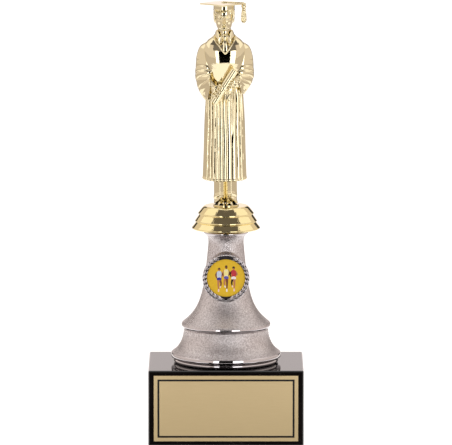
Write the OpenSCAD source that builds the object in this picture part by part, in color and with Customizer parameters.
// Column trophy: a plated graduate figure on a tiered cap, a bell-shaped riser
// with a round medallion, and a polished marble block, all clamped by one rod.
// Frame: +Z up, -Y is the front, origin on the rod's axis at the table.
// Units are millimetres.

/* [Marble base] */
// Width of the marble block, side to side
base_w = 102; // [90:1:130]
// Depth of the marble block, front to back
base_d = 76; // [75:1:110]
// Height of the marble block
base_h = 50; // [40:1:70]
// Polished chamfer on every edge of the block
base_chamfer = 0.7; // [0.4:0.1:1.5]
// Thickness of the felt pads under the block
pad_t = 1.2; // [0.8:0.1:3]
// Radius of one felt pad
pad_r = 7; // [5:0.5:9]

/* [Engraving plate] */
// Width of the plate
plate_w = 94.8; // [60:0.1:95]
// Height of the plate
plate_h = 43.6; // [25:0.1:44]
// Thickness of the plate
plate_t = 0.6; // [0.4:0.1:1.2]
// Thickness of the adhesive tape behind the plate and the medallion
tape_t = 0.25; // [0.15:0.05:0.5]

/* [Riser] */
// Height of the riser
riser_h = 88.8; // [86:0.1:90]
// Wall thickness of the moulded riser
wall = 2.2; // [1.8:0.1:2.4]
// Radius of the round medallion holder
holder_r = 15.5; // [15.2:0.1:16]
// Height of the medallion's centre above the riser's foot
holder_z = 58.4; // [57:0.1:60]

/* [Medallion] */
// Radius of the printed insert disc, one inch across
disc_r = 12.7; // [12:0.1:12.9]
// Thickness of the insert disc
disc_t = 0.6; // [0.4:0.1:0.7]
// Thickness of the wreath ring in front of the disc
wreath_t = 1.6; // [1:0.1:2.5]

/* [Fasteners] */
// Radius of the rod, 1/4 inch thread
rod_r = 3.175; // [3:0.005:3.2]
// Width across the flats of the hex nuts, 7/16 inch
nut_flats = 11.1; // [11:0.1:11.2]
// Thickness of the hex nuts, 7/32 inch
nut_t = 5.5; // [5:0.1:5.6]
// Radius of the counterbore under the block
bore_r = 14; // [13.5:0.1:16]
// Depth of the counterbore
bore_depth = 14; // [13.5:0.1:18]

/* [Figure] */
// Height of the figure from its plinth to the top of the cap
figure_h = 133.2; // [132:0.1:134]
// Half width of the gown at its hem
hem_w = 14.4; // [13.5:0.1:15]
// Half width across the elbows
elbow_w = 16.2; // [15.5:0.1:16.5]
// Half diagonal of the square cap board
board_half = 15.1; // [14:0.1:16]

/* [Hidden] */
$fn = 96;

// Heights of the stack, from the table up
marble_z = pad_t;
riser_z = marble_z + base_h;
tier_z = riser_z + riser_h;
tier_h = 15.5;
plinth_z = tier_z + tier_h;
plinth_t = 0.9;
sole_z = plinth_z + plinth_t;

// Fits and small clearances
rod_gap = 0.05;
hole_r = 3.6;
socket_gap = 0.1;
plinth_r = 8.4;
boss_r = 7.2;
boss_h = 9.5;

// The body stands a little to one side of the rod, and the cap board of the head
figure_x = -0.9;
board_shift = -0.9;

// Medallion planes, measured along -Y from the axis
holder_y = 17.4;
seat_depth = 1.0;
wreath_in_r = 12.4;

// Hardware under the block
seat_z = marble_z + bore_depth;
washer_t = 1.6;
washer_r = 12.7;
lock_r = 6.2;
rod_tail = 2;
rod_z = seat_z - 2 * washer_t - nut_t - rod_tail;
nut_pocket_z = plinth_z - boss_h + 1.2;
rod_top = nut_pocket_z + nut_t + 1;

gold = [0.89, 0.76, 0.45];
silver = [0.72, 0.69, 0.69];
steel = [0.6, 0.6, 0.6];

// A point on the cubic curve with control points p[0] to p[3]
function curve_at(p, t) =
    pow(1 - t, 3) * p[0] + 3 * pow(1 - t, 2) * t * p[1]
    + 3 * (1 - t) * t * t * p[2] + pow(t, 3) * p[3];

// n + 1 points along that curve
function curve(p, n) = [for (i = [0 : n]) curve_at(p, i / n)];

// Points on an arc about c, from angle a to angle b
function arc(c, r, a, b, n) =
    [for (i = [0 : n]) let (t = a + (b - a) * i / n) c + r * [cos(t), sin(t)]];

// The same points, moved
function moved(points, by) = [for (p = points) p + by];

// ---------------------------------------------------------------- marble base

// A block with every edge chamfered, standing on z = 0
module chamfered_block(size, c) {
    intersection() {
        linear_extrude(size.z) chamfered_square(size.x, size.y, c);
        translate([0, size.y / 2, size.z / 2]) rotate([90, 0, 0])
            linear_extrude(size.y) chamfered_square(size.x, size.z, c);
        translate([-size.x / 2, 0, size.z / 2]) rotate([90, 0, 90])
            linear_extrude(size.x) chamfered_square(size.y, size.z, c);
    }
}

module chamfered_square(w, h, c) {
    x = w / 2;
    y = h / 2;
    polygon([[x - c, y], [c - x, y], [-x, y - c], [-x, c - y],
             [c - x, -y], [x - c, -y], [x, c - y], [x, y - c]]);
}

module marble_base() {
    color([0.05, 0.05, 0.05])
    difference() {
        translate([0, 0, marble_z]) chamfered_block([base_w, base_d, base_h], base_chamfer);
        translate([0, 0, marble_z - 1]) cylinder(r = bore_r, h = bore_depth + 1);
        translate([0, 0, marble_z]) cylinder(r = hole_r, h = base_h + 1);
    }
}

module felt_pads() {
    inset = pad_r + 3;
    color([0.1, 0.1, 0.1])
    for (x = [-1, 1], y = [-1, 1])
        translate([x * (base_w / 2 - inset), y * (base_d / 2 - inset), 0])
            cylinder(r = pad_r, h = pad_t);
}

// ------------------------------------------------------------ engraving plate

// A thin slab standing on the block's front face, starting 'out' in front of it
module front_slab(w, h, t, out) {
    translate([0, -base_d / 2 - out, marble_z + base_h / 2])
        rotate([90, 0, 0]) translate([-w / 2, -h / 2, 0]) cube([w, h, t]);
}

module plate_tape() {
    tape_margin = 4;
    color([0.85, 0.85, 0.8])
        front_slab(plate_w - tape_margin, plate_h - tape_margin, tape_t, 0);
}

module engraving_plate() {
    color([0.77, 0.68, 0.51]) front_slab(plate_w, plate_h, plate_t, tape_t);
}

// ------------------------------------------------------------------ fasteners

// A ring standing on z = 0
module ring(outer, inner, h) {
    difference() {
        cylinder(r = outer, h = h);
        translate([0, 0, -1]) cylinder(r = inner, h = h + 2);
    }
}

// A hex prism with chamfered corners, standing on z = 0
module hex_body(flats, h) {
    corner = flats / 2 / cos(30);
    intersection() {
        cylinder(r = corner, h = h, $fn = 6);
        rotate_extrude()
            polygon([[0, 0], [corner - 0.9, 0], [corner, 0.5],
                     [corner, h - 0.5], [corner - 0.9, h], [0, h]]);
    }
}

module hex_nut() {
    difference() {
        hex_body(nut_flats, nut_t);
        translate([0, 0, -1]) cylinder(r = rod_r + rod_gap, h = nut_t + 2);
    }
}

module threaded_rod() {
    color(steel) translate([0, 0, rod_z]) rotate_extrude()
        polygon([[0, 0], [rod_r - 0.6, 0], [rod_r, 0.6],
                 [rod_r, rod_top - rod_z - 0.6], [rod_r - 0.6, rod_top - rod_z],
                 [0, rod_top - rod_z]]);
}

module flat_washer() {
    color(steel) translate([0, 0, seat_z - washer_t]) ring(washer_r, rod_r + 0.3, washer_t);
}

// A split spring washer: a ring with a narrow slanting gap
module lock_washer() {
    color(steel) translate([0, 0, seat_z - 2 * washer_t]) difference() {
        ring(lock_r, rod_r + 0.15, washer_t);
        translate([lock_r - 1.5, 0, washer_t / 2]) rotate([35, 0, 0])
            cube([6, 0.8, 8], center = true);
    }
}

module bottom_nut() {
    color(steel) translate([0, 0, seat_z - 2 * washer_t - nut_t]) hex_nut();
}

module figure_nut() {
    color(steel) translate([0, 0, nut_pocket_z]) hex_nut();
}

// ---------------------------------------------------------------------- riser

// Outline of the foot: two rounded lips with a groove between them
foot_lips = concat([[0, 0]], arc([33.1, 1.6], 1.6, -90, 80, 8),
                   arc([34.6, 5.3], 1.8, -80, 85, 8));
// Concave sweep from the foot up to the middle ring
cove = curve([[34.9, 7.4], [31.5, 9.6], [28.1, 14.5], [28.1, 22.2]], 12);
// Rounded ring at the bottom of the bell
bell_ring = arc([27.75, 24.8], 1.8, -70, 50, 8);
// Long bell curve from the ring to the neck
bell = curve([[28.6, 26.6], [17.1, 35.9], [14.9, 42.7], [11.6, 79.5]], 20);
// Collar flaring out under the cap
collar = concat(curve([[11.6, 79.5], [11.6, 82.8], [12.6, 84.6], [14.2, 85.4]], 6),
                arc([13.4, 86.6], 1.35, -50, 90, 6));

module riser_outline() {
    polygon(concat(foot_lips, cove, bell_ring, bell, collar,
                   [[13.0, riser_h], [0, riser_h]]));
}

// The hollow inside, open at the foot, with a guide tube hanging from the top
module riser_cavity() {
    tube_r = 5.8;
    tube_z = 66;
    top_z = riser_h - 4;
    inside = [for (p = bell) if (p.y < top_z - 2) [p.x - wall, p.y - wall]];
    neck_r = 11.6 - wall;
    polygon(concat([[0, -1], [31.2, -1], [31.2, 5.5]],
                   curve([[31.2, 5.5], [28.5, 8.5], [25.9, 13], [25.9, 22]], 8),
                   [[25.9, 23.6]], inside,
                   [[neck_r, top_z], [tube_r, top_z], [tube_r, tube_z], [0, tube_z]]));
}

// A cylinder along -Y, centred on the medallion, from y_in out to y_out
module medallion_cylinder(r, y_in, y_out) {
    translate([0, -y_in, riser_z + holder_z]) rotate([90, 0, 0])
        cylinder(r = r, h = y_out - y_in);
}

module riser() {
    holder_root = 6;
    color(silver) difference() {
        union() {
            translate([0, 0, riser_z]) rotate_extrude() riser_outline();
            medallion_cylinder(holder_r, holder_root, holder_y);
        }
        translate([0, 0, riser_z]) rotate_extrude() riser_cavity();
        translate([0, 0, riser_z]) cylinder(r = hole_r, h = riser_h + 1);
        medallion_cylinder(disc_r + socket_gap, holder_y - seat_depth, holder_y + 5);
    }
}

// ------------------------------------------------------------------ medallion

module insert_tape() {
    color([0.85, 0.85, 0.8])
        medallion_cylinder(disc_r - 1, holder_y - seat_depth, holder_y - seat_depth + tape_t);
}

module insert_disc() {
    back = holder_y - seat_depth + tape_t;
    color([0.88, 0.74, 0.15]) medallion_cylinder(disc_r, back, back + disc_t);
}

// Ring of laurel: a domed ring split by a notch at the bottom
module wreath_ring() {
    mid = (holder_r + wreath_in_r) / 2;
    half = (holder_r - wreath_in_r) / 2;
    color(silver) translate([0, -holder_y, riser_z + holder_z]) rotate([90, 0, 0])
        rotate_extrude() polygon(concat([[wreath_in_r, 0], [holder_r, 0]],
            [for (i = [0 : 8]) let (t = i * 22.5)
             [mid + half * cos(t), 0.5 + (wreath_t - 0.5) * sin(t)]]));
}

// ------------------------------------------------------------------ tier base

// Three stacked cones, each overhanging the one below, and a flat top
tiers = [[0, 0], [21.8, 0], [22.4, 0.4], [22.5, 1.0], [19.6, 4.6],
         [20.3, 4.9], [20.4, 5.6], [17.6, 9.7],
         [18.3, 10.0], [18.4, 10.8], [14.9, 15.1], [14.4, 15.5], [0, 15.5]];

module tier_base() {
    skin = 1.8;
    tube_r = 9.6;
    ribs = 6;
    color(gold) translate([0, 0, tier_z]) difference() {
        rotate_extrude() polygon(tiers);
        difference() {
            rotate_extrude() polygon([[tube_r, -1], [20.4, -1], [20.4, 1.0],
                                      [17.8, 4.2], [13.2, tier_h - skin],
                                      [tube_r, tier_h - skin]]);
            for (i = [0 : ribs - 1]) rotate(i * 360 / ribs)
                translate([0, -0.6, 0]) cube([21, 1.2, tier_h]);
        }
        translate([0, 0, -1]) cylinder(r = boss_r + socket_gap, h = tier_h + 2);
    }
}

// --------------------------------------------------------------------- figure

// Faces on the rounded shapes that make the figure
soft_fn = 24;

// Rounded limb between two points
module limb(a, b, ra, rb) {
    hull() {
        translate(a) sphere(ra, $fn = soft_fn);
        translate(b) sphere(rb, $fn = soft_fn);
    }
}

// Oval slice of a body, half widths rx and ry, at height z above the sole
module slice(rx, ry, z, y = 0) {
    translate([0, y, sole_z + z]) scale([rx, ry, 1]) cylinder(r = 1, h = 0.6, $fn = 40);
}

module leg(side) {
    foot = [side * 3.9, 0, sole_z];
    // Shoe, toe forward and turned out a little
    hull() {
        translate(foot + [side * 1.6, -6.0, 0]) cylinder(r = 2.0, h = 1.4, $fn = soft_fn);
        translate(foot + [side * 0.9, -3.0, 0]) cylinder(r = 2.5, h = 3.6, $fn = soft_fn);
        translate(foot + [0, 2.6, 0]) cylinder(r = 2.1, h = 4.6, $fn = soft_fn);
    }
    // Trouser leg
    hull() {
        translate(foot + [0, 0.6, 3.6]) cylinder(r = 3.7, h = 1, $fn = soft_fn);
        translate(foot + [0, 0.6, 22]) cylinder(r = 4.0, h = 1, $fn = soft_fn);
    }
}

module gown() {
    // Skirt, a little longer in front
    hull() {
        slice(hem_w, 9.8, 18.6);
        slice(hem_w - 1.6, 7.6, 16.4, -1.8);
        slice(12.8, 8.6, 70);
    }
    // Chest and shoulders
    hull() {
        slice(12.4, 8.8, 66);
        slice(14.0, 9.0, 92);
        slice(14.6, 7.6, 103);
        slice(7.6, 5.4, 110.6);
    }
}

module arm(side) {
    elbow = [side * elbow_w, 0.8, sole_z + 85];
    limb([side * 13.2, 0.4, sole_z + 102], elbow, 4.4, 3.6);
    // Wide sleeve hanging from the forearm
    hull() {
        translate(elbow) sphere(3.6, $fn = soft_fn);
        translate([side * 6.5, -9.0, sole_z + 78]) sphere(2.8, $fn = soft_fn);
        translate([side * 12.2, -5.0, sole_z + 71]) sphere(2.2, $fn = soft_fn);
    }
}

module hands_and_scroll() {
    low = [-6.4, -11.8, sole_z + 68];
    high = [6.6, -11.8, sole_z + 89];
    limb([-6.0, -10.0, sole_z + 77], [-2.4, -13.4, sole_z + 74.0], 2.6, 2.3);
    limb([6.4, -10.0, sole_z + 80], [3.0, -13.4, sole_z + 81.0], 2.6, 2.3);
    translate(low) rotate([0, atan2(high.x - low.x, high.z - low.z), 0])
        cylinder(r = 2.3, h = norm(high - low), $fn = soft_fn);
    // Wrists meet the gown
    limb([0, -9.6, sole_z + 77.6], [0, -6, sole_z + 77.6], 3.6, 5.0);
}

module head() {
    // Neck
    translate([0, 0.8, sole_z + 108]) cylinder(r = 4.4, h = 10, $fn = soft_fn);
    // Skull and jaw
    hull() {
        translate([0, 0.4, sole_z + 125]) scale([6.9, 8.0, 7.0]) sphere(1, $fn = 32);
        translate([0, -2.6, sole_z + 119.4]) scale([4.8, 4.8, 4.0]) sphere(1, $fn = soft_fn);
    }
}

module cap() {
    board_t = 1.0;
    top = sole_z + figure_h;
    // Band round the head
    translate([0, 0.4, top - 6.4]) scale([7.3, 8.4, 1]) cylinder(r = 1, h = 5.4, $fn = 40);
    translate([board_shift, 0, 0]) {
        // Square board with its corners to the sides and to the front
        translate([0, 0, top - board_t - 0.5]) rotate(45)
            translate([-1, -1, 0] * board_half / sqrt(2))
                cube([board_half * sqrt(2), board_half * sqrt(2), board_t]);
        translate([0, 0, top - 0.6]) cylinder(r = 1.1, h = 0.6, $fn = soft_fn);
        // Tassel
        hull() {
            translate([board_half - 1.6, 0, top - 2]) cylinder(r = 0.9, h = 1, $fn = soft_fn);
            translate([board_half - 1.9, 0, top - 13]) cylinder(r = 1.6, h = 1, $fn = soft_fn);
        }
    }
}

// The whole figure, from its boss to the cap, before it is cut in two
module figure_form() {
    difference() {
        union() {
            translate([0, 0, plinth_z]) cylinder(r = plinth_r, h = plinth_t);
            translate([0, 0, plinth_z - boss_h]) cylinder(r = boss_r, h = boss_h + 0.1);
            translate([figure_x, 0, 0]) {
                for (side = [-1, 1]) {
                    leg(side);
                    arm(side);
                }
                gown();
                hands_and_scroll();
                head();
                cap();
            }
        }
        // Hex pocket that traps the nut between the halves, and the rod's way in
        translate([0, 0, nut_pocket_z])
            cylinder(r = nut_flats / 2 / cos(30) + socket_gap, h = nut_t + 0.1, $fn = 6);
        translate([0, 0, plinth_z - boss_h - 1])
            cylinder(r = hole_r, h = rod_top - plinth_z + boss_h + 1.6, $fn = 32);
        // Hollow of the gown
        hull() {
            slice(11.0, 7.0, 23);
            slice(10.4, 6.4, 98);
        }
    }
}

// Half of the figure: side -1 is the front, side 1 is the back
module figure_half(side) {
    reach = 60;
    color(gold) intersection() {
        figure_form();
        translate([-reach, side > 0 ? 0 : -reach, plinth_z - 20])
            cube([2 * reach, reach, figure_h + 40]);
    }
}

marble_base();
felt_pads();
engraving_plate();
plate_tape();
threaded_rod();
bottom_nut();
lock_washer();
flat_washer();
riser();
insert_tape();
insert_disc();
wreath_ring();
tier_base();
figure_nut();
figure_half(-1);  // figure_front
figure_half(1);  // figure_back
